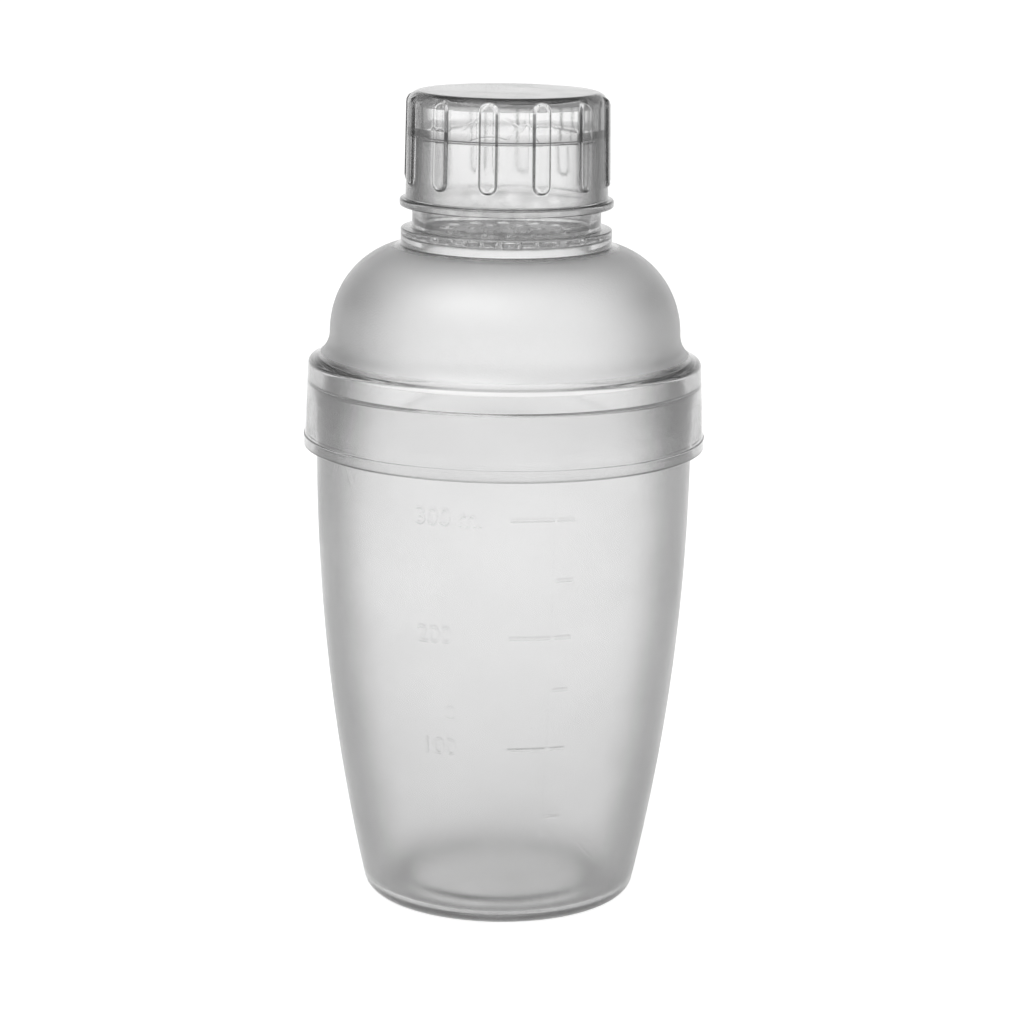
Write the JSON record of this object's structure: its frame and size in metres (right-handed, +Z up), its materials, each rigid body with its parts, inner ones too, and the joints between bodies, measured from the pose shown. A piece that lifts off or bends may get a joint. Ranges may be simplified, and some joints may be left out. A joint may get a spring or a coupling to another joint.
{
  "type": "cocktail shaker",
  "caption": "Frosted clear plastic shaker: tapered measuring cup, domed strainer lid with a clear collar, and a ribbed push-on cap.",
  "frame": {"origin": "centre of the cup's foot ring, in the plane it stands on", "axes": "+Z up the common axis of cup, lid and cap; -Y towards the side with the graduation; +X to the right of someone reading it"},
  "size_m": [0.0846, 0.0846, 0.1717],
  "materials": {
    "cup_plastic": "frosted translucent plastic",
    "lid_plastic": "frosted dome, clear collar and neck",
    "cap_plastic": "clear glossy plastic"
  },
  "bodies": {
    "cup": {"cup": "cup_plastic"},
    "lid": {"strainer_lid": "lid_plastic"},
    "cap": {"cap": "cap_plastic"}
  },
  "joints": [
    {"name": "lid_lift", "type": "slide", "parent": "cup", "child": "lid", "axis": [0, 0, 1], "range_m": [0, 0.06]},
    {"name": "cap_lift", "type": "slide", "parent": "lid", "child": "cap", "axis": [0, 0, 1], "range_m": [0, 0.04]}
  ]
}
